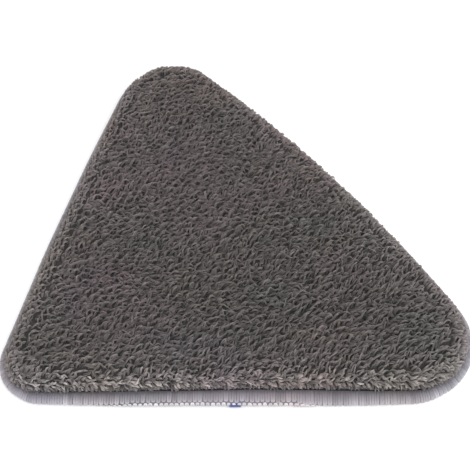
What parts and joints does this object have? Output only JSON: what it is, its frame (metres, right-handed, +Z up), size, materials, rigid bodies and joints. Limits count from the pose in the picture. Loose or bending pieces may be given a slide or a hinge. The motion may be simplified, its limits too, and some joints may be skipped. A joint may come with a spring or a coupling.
{
  "type": "mop pad",
  "caption": "Triangular washable floor mop pad with deep coral fleece pile, soft core, loop backing, overlocked edge and a folded ribbon tab.",
  "frame": {"origin": "on the floor under the middle of the pad, pile side up", "axes": "+Z up through the pile, +Y to the nose of the triangle, +X along the base side"},
  "size_m": [0.2902, 0.2298, 0.0164],
  "materials": {
    "backing": "brushed loop knit",
    "core": "needled wadding",
    "pile": "clumped coral fleece pile",
    "thread": "textured polyester thread",
    "ribbon": "woven satin ribbon"
  },
  "bodies": {
    "pad": {"loop_backing": "backing", "absorbent_core": "core", "fleece_base_knit": "pile", "fleece_pile": "pile", "overlock_upper_looper_thread": "thread", "overlock_lower_looper_thread": "thread", "overlock_needle_thread": "thread", "ribbon_tab_sewn_end": "ribbon"},
    "tab": {"ribbon_tab": "ribbon"}
  },
  "joints": [
    {"name": "tab_flip", "type": "hinge", "parent": "pad", "child": "tab", "pos_m": [-0.08226, 0.02587, 0.00035], "axis": [0.6137, 0.7895, 0], "range_deg": [0, 180]}
  ]
}
